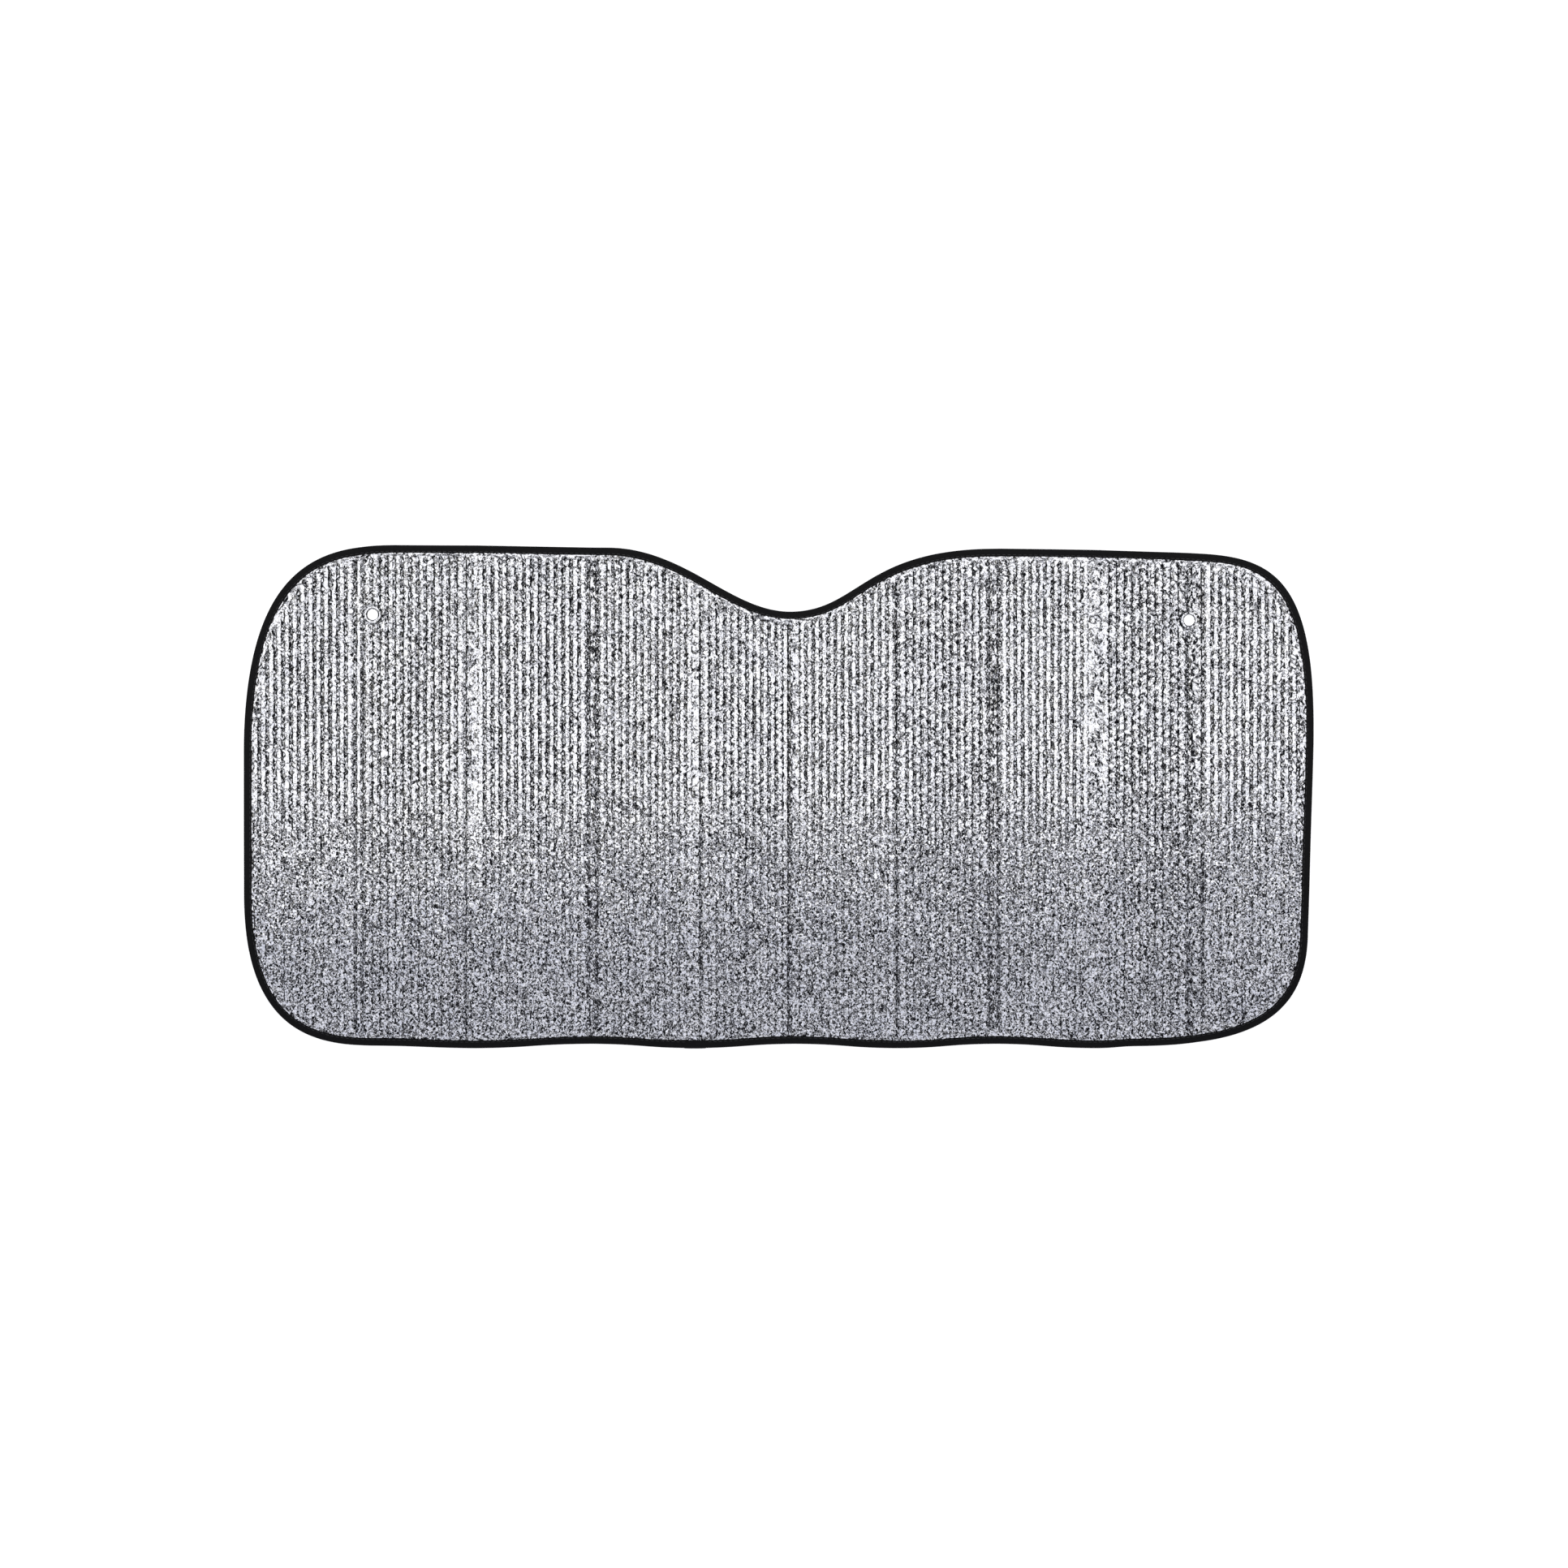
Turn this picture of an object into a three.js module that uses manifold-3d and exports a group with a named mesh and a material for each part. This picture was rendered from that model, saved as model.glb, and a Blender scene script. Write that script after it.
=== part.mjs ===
// Windscreen sunshade: one sheet of bubble foil with pressed accordion creases, two punched holes
// for suction cups and a notch for the mirror, with a black tape folded round the whole edge.
// Millimetres. X runs along the shade, Y towards the edge with the mirror notch, Z is up.
// The shade lies open on its plain back and rests on its low creases.

import * as THREE from 'three';
import { mergeVertices } from 'three/addons/utils/BufferGeometryUtils.js';
import Module from 'manifold-3d';

const wasm = await Module();
wasm.setup();

const shadeWidth = 1295;
const shadeHeight = 610;

// Panels between two creases, from left to right as seen from above. The two outer panels share
// what is left of the width
const innerPanelWidths = [141.6, 140.6, 126.9, 120.9, 122.9, 120.9, 120.0, 125.9];

// The accordion: every second crease stays this much higher than its neighbours
const foldRise = 11;

// Bubble foil, measured up from its plain back
const bubbleHeight = 3.0;
const bubbleShoulderHeight = 2.7;
const dipHeight = 1.8;
const columnPitch = 9.15;
const shoulderPlace = 0.23;
const creaseThickness = 1.1;
const creaseWidth = 4.0;

// Edge tape: a strip folded into a U round the flattened rim of the foil
const tapeThickness = 0.5;
const tapeWidth = 9.4;
const tapeFoldRadius = 0.7;
const rimThickness = 0.9;
const tapeClearance = 0.3;

// The tape's end laps over its start on the long lower edge
const lapCrease = 3;
const lapFromCrease = -13.8;
const lapLength = 26;
const lapStep = 0.3;

// Corners: how far each one reaches along the long edge and down the side, and how far its
// curve is pulled towards the square corner on each of them
const topLeft = { along: 181, down: 251, alongPull: 76, downPull: 239 };
const topRight = { along: 181, down: 249, alongPull: 120, downPull: 247 };
const bottomLeft = { along: 155, down: 190, alongPull: 81, downPull: 162 };
const bottomRight = { along: 211, down: 135, alongPull: 128, downPull: 103 };

// The edges aren't quite straight
const leftShoulderDrop = 2.9;
const rightShoulderDrop = 4.0;
const topRightDrop = 8.5;
const rightSideLean = 6.5;
const lowerEdgeWave = 2.1;

// Mirror notch, measured from the middle crease and from the top
const notchCrease = 4;
const notchFromCrease = -6.7;
const notchDepth = 80.6;
const notchLeft = { reach: 223, topPull: 95, footPull: 72 };
const notchRight = { reach: 257, topPull: 170, footPull: 85 };

// Suction cup holes, placed from the nearest crease and from the top
const holeRadius = 6.4;
const pressedRingRadius = 9.8;
const pressedRingThickness = 1.0;
const pressedRingFlare = 0.2;
const leftHoleFromCrease = 16.8;
const leftHoleFromTop = 84.3;
const rightHoleFromCrease = -11.4;
const rightHoleFromTop = 91.1;

// Steps that a curve is divided into
const cornerSteps = 24;
const notchSteps = 14;
const waveSteps = 5;
const holeSteps = 48;

// Worked out from the sizes above
const innerWidth = innerPanelWidths.reduce((sum, width) => sum + width, 0);
const outerPanelWidth = (shadeWidth - innerWidth) / 2;
const panelWidths = [outerPanelWidth, ...innerPanelWidths, outerPanelWidth];
const left = -shadeWidth / 2;
const right = shadeWidth / 2;
const top = shadeHeight / 2;
const bottom = -shadeHeight / 2;
const foldPlaces = [left];
for (const width of panelWidths) {
  foldPlaces.push(foldPlaces.at(-1) + width);
}
const creasePlaces = foldPlaces.slice(1, -1);
const tapeHeight = rimThickness + 2 * (tapeClearance + tapeThickness);
const rimUnderside = tapeThickness + tapeClearance;
const rimInset = tapeThickness + tapeClearance;
const bubbleInset = tapeWidth + tapeClearance;
const lapStart = creasePlaces[lapCrease] + lapFromCrease;
const lapEnd = lapStart + lapLength;
const holes = [
  { x: creasePlaces[0] + leftHoleFromCrease, y: top - leftHoleFromTop },
  { x: creasePlaces.at(-1) + rightHoleFromCrease, y: top - rightHoleFromTop },
];

// Height of the foil's back at x: low at every second crease, high between and at both ends
function foldRiseAt(index) {
  return index % 2 === 0 ? foldRise : 0;
}

function backHeight(x) {
  let panel = 0;
  while (panel < panelWidths.length - 1 && x > foldPlaces[panel + 1]) {
    panel += 1;
  }
  const share = (x - foldPlaces[panel]) / panelWidths[panel];
  return THREE.MathUtils.lerp(foldRiseAt(panel), foldRiseAt(panel + 1), share);
}

// The outer edge as curves, counterclockwise from the left side
function edgeCurves() {
  const at = (x, y) => new THREE.Vector2(x, y);
  const lowerBase = bottom + lowerEdgeWave;
  const notchX = creasePlaces[notchCrease] + notchFromCrease;
  const leftUpper = at(left, top - topLeft.down);
  const leftLower = at(left, bottom + bottomLeft.down);
  const lowerLeft = at(left + bottomLeft.along, lowerBase);
  const lowerRight = at(right - bottomRight.along, lowerBase);
  const rightLower = at(right - rightSideLean, bottom + bottomRight.down);
  const rightUpper = at(right, top - topRightDrop - topRight.down);
  const upperRight = at(right - topRight.along, top - topRightDrop);
  const rightShoulder = at(notchX + notchRight.reach, top - rightShoulderDrop);
  const notchFoot = at(notchX, top - notchDepth);
  const leftShoulder = at(notchX - notchLeft.reach, top - leftShoulderDrop);
  const upperLeft = at(left + topLeft.along, top);
  const upTheSide = rightUpper.clone().sub(rightLower).normalize();
  const toTheNotch = rightShoulder.clone().sub(upperRight).normalize();
  const bend = (from, fromPull, toPull, to) => {
    return new THREE.CubicBezierCurve(from, from.clone().add(fromPull), to.clone().add(toPull), to);
  };

  const curves = [
    [new THREE.LineCurve(leftUpper, leftLower), 1],
    [bend(leftLower, at(0, -bottomLeft.downPull), at(-bottomLeft.alongPull, 0), lowerLeft), cornerSteps],
  ];
  let from = lowerLeft;
  for (let index = 0; index < creasePlaces.length; index += 1) {
    const x = creasePlaces[index];
    if (x > from.x && x < lowerRight.x) {
      const outward = foldRiseAt(index + 1) > 0 ? -lowerEdgeWave : lowerEdgeWave;
      const to = at(x, lowerBase + outward);
      const pull = (to.x - from.x) / 2;
      curves.push([bend(from, at(pull, 0), at(-pull, 0), to), waveSteps]);
      from = to;
    }
  }
  const lastPull = (lowerRight.x - from.x) / 2;
  curves.push([bend(from, at(lastPull, 0), at(-lastPull, 0), lowerRight), waveSteps]);
  curves.push(
    [bend(lowerRight, at(bottomRight.alongPull, 0),
      upTheSide.clone().multiplyScalar(-bottomRight.downPull), rightLower), cornerSteps],
    [new THREE.LineCurve(rightLower, rightUpper), 1],
    [bend(rightUpper, upTheSide.clone().multiplyScalar(topRight.downPull),
      toTheNotch.clone().multiplyScalar(-topRight.alongPull), upperRight), cornerSteps],
    [new THREE.LineCurve(upperRight, rightShoulder), 1],
    [bend(rightShoulder, at(-notchRight.topPull, 0), at(notchRight.footPull, 0), notchFoot), notchSteps],
    [bend(notchFoot, at(-notchLeft.footPull, 0), at(notchLeft.topPull, 0), leftShoulder), notchSteps],
    [new THREE.LineCurve(leftShoulder, upperLeft), 1],
    [bend(upperLeft, at(-topLeft.alongPull, 0), at(0, topLeft.downPull), leftUpper), cornerSteps],
  );
  return curves;
}

// Points of the outer edge. Where a crease or the end of the lap crosses the edge it gets a
// point that is marked as fixed, and the free points close beside it are dropped
function edgePoints() {
  const outline = edgeCurves().flatMap(([curve, steps]) => curve.getPoints(steps).slice(0, -1));
  const lapPlaces = [lapStart, lapStart + lapStep, lapEnd - lapStep, lapEnd];
  const points = [];
  outline.forEach((point, index) => {
    const next = outline[(index + 1) % outline.length];
    points.push({ x: point.x, y: point.y, fixed: false });
    const crossings = point.y < 0 ? [...creasePlaces, ...lapPlaces] : creasePlaces;
    const between = crossings
      .filter((x) => (x - point.x) * (x - next.x) <= 0 && x !== next.x)
      .sort((a, b) => Math.abs(a - point.x) - Math.abs(b - point.x));
    for (const x of between) {
      const share = (x - point.x) / (next.x - point.x);
      points.push({ x, y: THREE.MathUtils.lerp(point.y, next.y, share), fixed: true });
    }
  });
  const fixed = points.filter((point) => point.fixed);
  const crowded = (point) => fixed.some((other) => {
    return Math.abs(other.x - point.x) < tapeWidth && other.y * point.y > 0;
  });
  return points.filter((point) => point.fixed || !crowded(point));
}

// The way inwards at each point, as long as it takes to move both edges beside it by 1 mm.
// At a fixed point it runs along the crease
function withInwardWays(points) {
  return points.map((point, index) => {
    const before = points[(index + points.length - 1) % points.length];
    const after = points[(index + 1) % points.length];
    const arriving = new THREE.Vector2(before.y - point.y, point.x - before.x).normalize();
    const leaving = new THREE.Vector2(point.y - after.y, after.x - point.x).normalize();
    const middle = arriving.clone().add(leaving).divideScalar(1 + arriving.dot(leaving));
    const inward = point.fixed ? new THREE.Vector2(0, middle.lengthSq() / middle.y) : middle;
    return { ...point, inward };
  });
}

const edge = withInwardWays(edgePoints());

function insetOutline(distance) {
  return edge.map(({ x, y, inward }) => {
    return new THREE.Vector2(x + inward.x * distance, y + inward.y * distance);
  });
}

// A closed mesh as a solid that can be joined and cut
function solidOf(geometry) {
  const bare = geometry.clone();
  bare.deleteAttribute('normal');
  bare.deleteAttribute('uv');
  const merged = mergeVertices(bare, 1e-5);
  return new wasm.Manifold(new wasm.Mesh({
    numProp: 3,
    vertProperties: new Float32Array(merged.attributes.position.array),
    triVerts: new Uint32Array(merged.index.array),
  }));
}

function geometryOf(solid) {
  const mesh = solid.getMesh();
  const geometry = new THREE.BufferGeometry();
  geometry.setAttribute('position', new THREE.BufferAttribute(mesh.vertProperties, 3));
  geometry.setIndex(new THREE.BufferAttribute(mesh.triVerts, 1));
  geometry.computeVertexNormals();
  return geometry;
}

// An upright prism that reaches past the shade's top and underside
const prismMargin = 5;
const prismHeight = foldRise + bubbleHeight + 2 * prismMargin;

function prism(points) {
  const options = { depth: prismHeight, bevelEnabled: false };
  const geometry = new THREE.ExtrudeGeometry(new THREE.Shape(points), options);
  geometry.translate(0, 0, -prismMargin);
  return solidOf(geometry);
}

function uprightCylinder(radius, x, y) {
  const geometry = new THREE.CylinderGeometry(radius, radius, prismHeight, holeSteps);
  geometry.rotateX(Math.PI / 2);
  geometry.translate(x, y, prismHeight / 2 - prismMargin);
  return solidOf(geometry);
}

// What the press flattens round a hole: its wall leans outwards from the ring's own height
function pressedHollow(x, y) {
  const reach = bubbleHeight + prismMargin;
  const widest = pressedRingRadius + pressedRingFlare * reach;
  const narrowest = pressedRingRadius - pressedRingFlare * reach;
  const geometry = new THREE.CylinderGeometry(widest, narrowest, 2 * reach, holeSteps);
  geometry.rotateX(Math.PI / 2);
  geometry.translate(x, y, backHeight(x) + pressedRingThickness);
  return solidOf(geometry);
}

// A section drawn in X and Z, run along Y past both long edges
function runAlongCreases(section) {
  const depth = shadeHeight + 2 * prismMargin;
  const shape = new THREE.Shape(section.map(([x, z]) => new THREE.Vector2(x, z)));
  const geometry = new THREE.ExtrudeGeometry(shape, { depth, bevelEnabled: false });
  geometry.rotateX(Math.PI / 2);
  geometry.translate(0, depth / 2, 0);
  return solidOf(geometry);
}

// A folded layer between two heights above the foil's back
function foldedLayer(lower, upper) {
  const under = foldPlaces.map((x) => [x, backHeight(x) + lower]);
  const over = foldPlaces.map((x) => [x, backHeight(x) + upper]).reverse();
  return runAlongCreases([...under, ...over]);
}

// The foil's section: plain folded back, and on top a ridge for each column of bubbles, with the
// laminate pressed flat in a strip at each crease
function bubbleSection() {
  const topLine = [];
  panelWidths.forEach((width, panel) => {
    const start = foldPlaces[panel] + (panel === 0 ? 0 : creaseWidth / 2);
    const end = foldPlaces[panel + 1] - (panel === panelWidths.length - 1 ? 0 : creaseWidth / 2);
    const columns = Math.max(1, Math.round((end - start) / columnPitch));
    const pitch = (end - start) / columns;
    topLine.push([start, creaseThickness]);
    for (let column = 0; column < columns; column += 1) {
      const x = start + column * pitch;
      if (column > 0) {
        topLine.push([x, dipHeight]);
      }
      topLine.push([x + shoulderPlace * pitch, bubbleShoulderHeight]);
      topLine.push([x + pitch / 2, bubbleHeight]);
      topLine.push([x + (1 - shoulderPlace) * pitch, bubbleShoulderHeight]);
    }
    topLine.push([end, creaseThickness]);
    if (panel < panelWidths.length - 1) {
      topLine.push([foldPlaces[panel + 1], creaseThickness]);
    }
  });
  const under = foldPlaces.map((x) => [x, backHeight(x)]);
  const over = topLine.map(([x, height]) => [x, backHeight(x) + height]).reverse();
  return [...under, ...over];
}

// The foil panel: ridged bubble foil inside the tape, a thin flattened rim under the tape, and
// the holes with the ring that the punch pressed flat round them
function foilPanel() {
  const bubbles = runAlongCreases(bubbleSection()).intersect(prism(insetOutline(bubbleInset)));
  const rim = foldedLayer(rimUnderside, rimUnderside + rimThickness)
    .intersect(prism(insetOutline(rimInset)));
  let panel = bubbles.add(rim);
  const aboveRings = foldedLayer(pressedRingThickness, prismHeight);
  for (const { x, y } of holes) {
    panel = panel.subtract(pressedHollow(x, y).intersect(aboveRings));
    panel = panel.subtract(uprightCylinder(holeRadius, x, y));
  }
  return geometryOf(panel);
}

// The tape's section at one point of the edge, as distance inwards and height above the back.
// grow is the thickness that the lap adds outside
function tapeSection(grow) {
  const innerTop = tapeHeight - tapeThickness;
  return [
    [tapeFoldRadius, -grow],
    [tapeWidth, -grow],
    [tapeWidth, tapeThickness],
    [tapeThickness, tapeThickness],
    [tapeThickness, innerTop],
    [tapeWidth, innerTop],
    [tapeWidth, tapeHeight + grow],
    [tapeFoldRadius, tapeHeight + grow],
    [-grow, tapeHeight - tapeFoldRadius],
    [-grow, tapeFoldRadius],
  ];
}

function edgeBinding() {
  const positions = [];
  const triangles = [];
  const sideCount = tapeSection(0).length;
  for (const { x, y, inward } of edge) {
    const lapped = y < 0 && x > lapStart + lapStep / 2 && x < lapEnd - lapStep / 2;
    for (const [distance, height] of tapeSection(lapped ? tapeThickness : 0)) {
      const px = x + inward.x * distance;
      const py = y + inward.y * distance;
      positions.push(px, py, backHeight(px) + height);
    }
  }
  for (let ring = 0; ring < edge.length; ring += 1) {
    const nextRing = (ring + 1) % edge.length;
    for (let side = 0; side < sideCount; side += 1) {
      const nextSide = (side + 1) % sideCount;
      const a = ring * sideCount + side;
      const b = ring * sideCount + nextSide;
      const c = nextRing * sideCount + nextSide;
      const d = nextRing * sideCount + side;
      triangles.push(a, b, c, a, c, d);
    }
  }
  const geometry = new THREE.BufferGeometry();
  geometry.setAttribute('position', new THREE.Float32BufferAttribute(positions, 3));
  geometry.setIndex(triangles);
  geometry.computeVertexNormals();
  return geometry;
}

const foil = new THREE.MeshStandardMaterial({ color: 0xb9bac0, roughness: 0.25, metalness: 0.95 });
const tape = new THREE.MeshStandardMaterial({ color: 0x1b1b1f, roughness: 0.85, metalness: 0.0 });

function part(name, geometry, material) {
  const mesh = new THREE.Mesh(geometry, material);
  mesh.name = name;
  return mesh;
}

const sunshade = new THREE.Group();
sunshade.add(part('foil_panel', foilPanel(), foil));
sunshade.add(part('edge_binding', edgeBinding(), tape));

// The origin is the middle of the underside
const extent = new THREE.Box3().setFromObject(sunshade);
const middle = extent.getCenter(new THREE.Vector3());
sunshade.position.set(-middle.x, -middle.y, -extent.min.z);
sunshade.updateMatrixWorld(true);

export default sunshade;
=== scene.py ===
import math

import bpy
import numpy as np
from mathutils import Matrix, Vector
from mathutils.geometry import delaunay_2d_cdt
from mathutils.kdtree import KDTree


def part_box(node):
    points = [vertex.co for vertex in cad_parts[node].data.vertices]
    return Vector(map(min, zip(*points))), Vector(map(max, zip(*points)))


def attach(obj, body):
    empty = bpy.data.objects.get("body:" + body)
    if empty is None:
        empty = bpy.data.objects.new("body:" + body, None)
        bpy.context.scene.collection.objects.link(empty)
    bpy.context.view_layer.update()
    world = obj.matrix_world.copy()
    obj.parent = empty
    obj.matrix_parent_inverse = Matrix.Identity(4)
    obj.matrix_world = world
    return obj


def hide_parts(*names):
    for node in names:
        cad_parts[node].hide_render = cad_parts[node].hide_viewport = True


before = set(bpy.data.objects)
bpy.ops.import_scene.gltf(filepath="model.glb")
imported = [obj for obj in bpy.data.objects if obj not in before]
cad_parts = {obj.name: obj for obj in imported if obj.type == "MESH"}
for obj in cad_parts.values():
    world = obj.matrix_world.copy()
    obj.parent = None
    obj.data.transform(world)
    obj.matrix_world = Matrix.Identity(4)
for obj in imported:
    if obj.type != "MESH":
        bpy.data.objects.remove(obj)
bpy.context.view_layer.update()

# The scene is worked out in millimetres, in the part's own frame, and written to Blender in metres
MM = 0.001

# Sizes shared with the solids
shade_width = 1295.0
shade_height = 610.0
inner_panel_widths = [141.6, 140.6, 126.9, 120.9, 122.9, 120.9, 120.0, 125.9]
fold_rise = 11.0
column_pitch = 9.15
tape_thickness = 0.5
tape_width = 9.4
tape_height = 2.5
rim_underside = 0.8
rim_top = 1.7
rim_inset = 0.8
lap_crease = 3
lap_from_crease = -13.8
lap_length = 26.0
top_left = {"along": 181, "down": 251, "along_pull": 76, "down_pull": 239}
top_right = {"along": 181, "down": 249, "along_pull": 120, "down_pull": 247}
bottom_left = {"along": 155, "down": 190, "along_pull": 81, "down_pull": 162}
bottom_right = {"along": 211, "down": 135, "along_pull": 128, "down_pull": 103}
left_shoulder_drop = 2.9
right_shoulder_drop = 4.0
top_right_drop = 8.5
right_side_lean = 6.5
lower_edge_wave = 2.1
notch_crease = 4
notch_from_crease = -6.7
notch_depth = 80.6
notch_left = {"reach": 223, "top_pull": 95, "foot_pull": 72}
notch_right = {"reach": 257, "top_pull": 170, "foot_pull": 85}
hole_radius = 6.4
pressed_ring_radius = 9.8
pressed_ring_thickness = 1.0
left_hole_from_crease = 16.8
left_hole_from_top = 84.3
right_hole_from_crease = -11.4
right_hole_from_top = 91.1

# Worked out from the sizes above
left = -shade_width / 2
right = shade_width / 2
top = shade_height / 2
bottom = -shade_height / 2
outer_panel_width = (shade_width - sum(inner_panel_widths)) / 2
panel_widths = [outer_panel_width, *inner_panel_widths, outer_panel_width]
fold_places = left + np.concatenate([[0.0], np.cumsum(panel_widths)])
crease_places = fold_places[1:-1]
holes = [
    (crease_places[0] + left_hole_from_crease, top - left_hole_from_top),
    (crease_places[-1] + right_hole_from_crease, top - right_hole_from_top),
]
binding_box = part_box("edge_binding")
to_row_frame = np.array([binding_box[0].x / MM - left, binding_box[1].y / MM - top, 0.0])
random = np.random.default_rng(7)

# Camera: straight above the shade, with the notch's edge up, as in the photograph
camera_place = Vector((0.00624, 0.0152, 3.2))
framed_width = 1.8995
framed_height_above_floor = 0.010
camera_data = bpy.data.cameras.new("camera")
camera_data.sensor_width = 36.0
camera_data.lens = 36.0 * (camera_place.z - framed_height_above_floor) / framed_width
camera = bpy.data.objects.new("camera", camera_data)
camera.location = camera_place
bpy.context.scene.collection.objects.link(camera)
bpy.context.scene.camera = camera


# Outline of the shade, as curves, counterclockwise from the left side

def bend(start, start_pull, end_pull, end, steps):
    """Points of a cubic curve, without its end point."""
    share = np.arange(steps)[:, None] / steps
    p0, p3 = np.array(start, float), np.array(end, float)
    p1, p2 = p0 + np.array(start_pull, float), p3 + np.array(end_pull, float)
    rest = 1 - share
    return rest**3 * p0 + 3 * rest**2 * share * p1 + 3 * rest * share**2 * p2 + share**3 * p3


def straight(start, end, steps):
    """Points of a straight line, without its end point."""
    share = np.arange(steps)[:, None] / steps
    return (1 - share) * np.array(start, float) + share * np.array(end, float)


def rises(index):
    """Height of the back at a fold, counted from the left edge."""
    return fold_rise if index % 2 == 0 else 0.0


def dense_outline():
    """Closely spaced points once round the shade, without the first point again at the end."""
    steps = 400
    lower_base = bottom + lower_edge_wave
    notch_x = crease_places[notch_crease] + notch_from_crease
    left_upper = (left, top - top_left["down"])
    left_lower = (left, bottom + bottom_left["down"])
    lower_left = (left + bottom_left["along"], lower_base)
    lower_right = (right - bottom_right["along"], lower_base)
    right_lower = (right - right_side_lean, bottom + bottom_right["down"])
    right_upper = (right, top - top_right_drop - top_right["down"])
    upper_right = (right - top_right["along"], top - top_right_drop)
    right_shoulder = (notch_x + notch_right["reach"], top - right_shoulder_drop)
    notch_foot = (notch_x, top - notch_depth)
    left_shoulder = (notch_x - notch_left["reach"], top - left_shoulder_drop)
    upper_left = (left + top_left["along"], top)
    up_the_side = np.subtract(right_upper, right_lower)
    up_the_side = up_the_side / np.linalg.norm(up_the_side)
    to_the_notch = np.subtract(right_shoulder, upper_right)
    to_the_notch = to_the_notch / np.linalg.norm(to_the_notch)
    parts = [
        straight(left_upper, left_lower, steps),
        bend(left_lower, (0, -bottom_left["down_pull"]),
             (-bottom_left["along_pull"], 0), lower_left, steps),
    ]
    start = lower_left
    for index, x in enumerate(crease_places):
        if lower_left[0] < x < lower_right[0]:
            wave = -lower_edge_wave if rises(index + 1) > 0 else lower_edge_wave
            end = (x, lower_base + wave)
            pull = (end[0] - start[0]) / 2
            parts.append(bend(start, (pull, 0), (-pull, 0), end, steps))
            start = end
    pull = (lower_right[0] - start[0]) / 2
    parts += [
        bend(start, (pull, 0), (-pull, 0), lower_right, steps),
        bend(lower_right, (bottom_right["along_pull"], 0),
             -bottom_right["down_pull"] * up_the_side, right_lower, steps),
        straight(right_lower, right_upper, steps),
        bend(right_upper, top_right["down_pull"] * up_the_side,
             -top_right["along_pull"] * to_the_notch, upper_right, steps),
        straight(upper_right, right_shoulder, steps),
        bend(right_shoulder, (-notch_right["top_pull"], 0),
             (notch_right["foot_pull"], 0), notch_foot, steps),
        bend(notch_foot, (-notch_left["foot_pull"], 0),
             (notch_left["top_pull"], 0), left_shoulder, steps),
        straight(left_shoulder, upper_left, steps),
        bend(upper_left, (-top_left["along_pull"], 0),
             (0, top_left["down_pull"]), left_upper, steps),
    ]
    return np.concatenate(parts)


def even_outline(spacing):
    """Evenly spaced points of the outline, the unit way inwards at each, and how far round each lies."""
    points = dense_outline()
    closed = np.vstack([points, points[:1]])
    lengths = np.linalg.norm(np.diff(closed, axis=0), axis=1)
    along = np.concatenate([[0.0], np.cumsum(lengths)])
    count = int(round(along[-1] / spacing))
    places = np.arange(count) * along[-1] / count
    even = np.column_stack([np.interp(places, along, closed[:, axis]) for axis in (0, 1)])
    tangent = np.roll(even, -1, axis=0) - np.roll(even, 1, axis=0)
    tangent /= np.linalg.norm(tangent, axis=1)[:, None]
    inward = np.column_stack([-tangent[:, 1], tangent[:, 0]])
    return even, inward, places


edge_points, edge_inward, _ = even_outline(1.0)
edge_tree = KDTree(len(edge_points))
for index, point in enumerate(edge_points):
    edge_tree.insert((point[0], point[1], 0.0), index)
edge_tree.balance()


def distance_inside(points):
    """Distance from the outline, negative outside."""
    distances = np.empty(len(points))
    for row, (x, y) in enumerate(points):
        _, nearest, gap = edge_tree.find((x, y, 0.0))
        side = (x - edge_points[nearest][0]) * edge_inward[nearest][0]
        side += (y - edge_points[nearest][1]) * edge_inward[nearest][1]
        distances[row] = math.copysign(gap, side)
    return distances


# Heights of the sheet

fold_round = 3.0
gap_to_floor = 0.1
zigzag_places = np.concatenate(
    [[left - outer_panel_width], fold_places, [right + outer_panel_width]])
zigzag_rises = np.array([rises(index - 1) for index in range(len(zigzag_places))])


def waves(points, count, shortest, longest, seed):
    """Smooth seeded ripple between about -1 and 1, with wavelengths in the given range."""
    chosen = np.random.default_rng(seed)
    total = np.zeros(len(points))
    for _ in range(count):
        turn = chosen.uniform(0, math.pi)
        wavelength = chosen.uniform(shortest, longest)
        phase = chosen.uniform(0, 2 * math.pi)
        along = points[:, 0] * math.cos(turn) + points[:, 1] * math.sin(turn)
        total += np.sin(2 * math.pi * along / wavelength + phase)
    return total / math.sqrt(count)


def smooth(value):
    """0 below 0, 1 above 1 and an even S between them."""
    value = np.clip(value, 0, 1)
    return value * value * (3 - 2 * value)


slow_wave_height = 0.55
slow_waves = {"count": 9, "shortest": 110, "longest": 320, "seed": 3}
bow_height = 1.3
bow_random = np.random.default_rng(31)
bow_lengths = bow_random.uniform(300, 460, len(panel_widths))
bow_phases = bow_random.uniform(0, 2 * math.pi, len(panel_widths))


def panel_bows(points):
    """Each panel bows by itself between its creases, which stay straight."""
    panel = np.clip(np.searchsorted(fold_places, points[:, 0]) - 1, 0, len(panel_widths) - 1)
    share = np.clip((points[:, 0] - fold_places[panel]) / np.array(panel_widths)[panel], 0, 1)
    wave = np.sin(2 * math.pi * points[:, 1] / bow_lengths[panel] + bow_phases[panel])
    return bow_height * np.sin(math.pi * share) * wave


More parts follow.
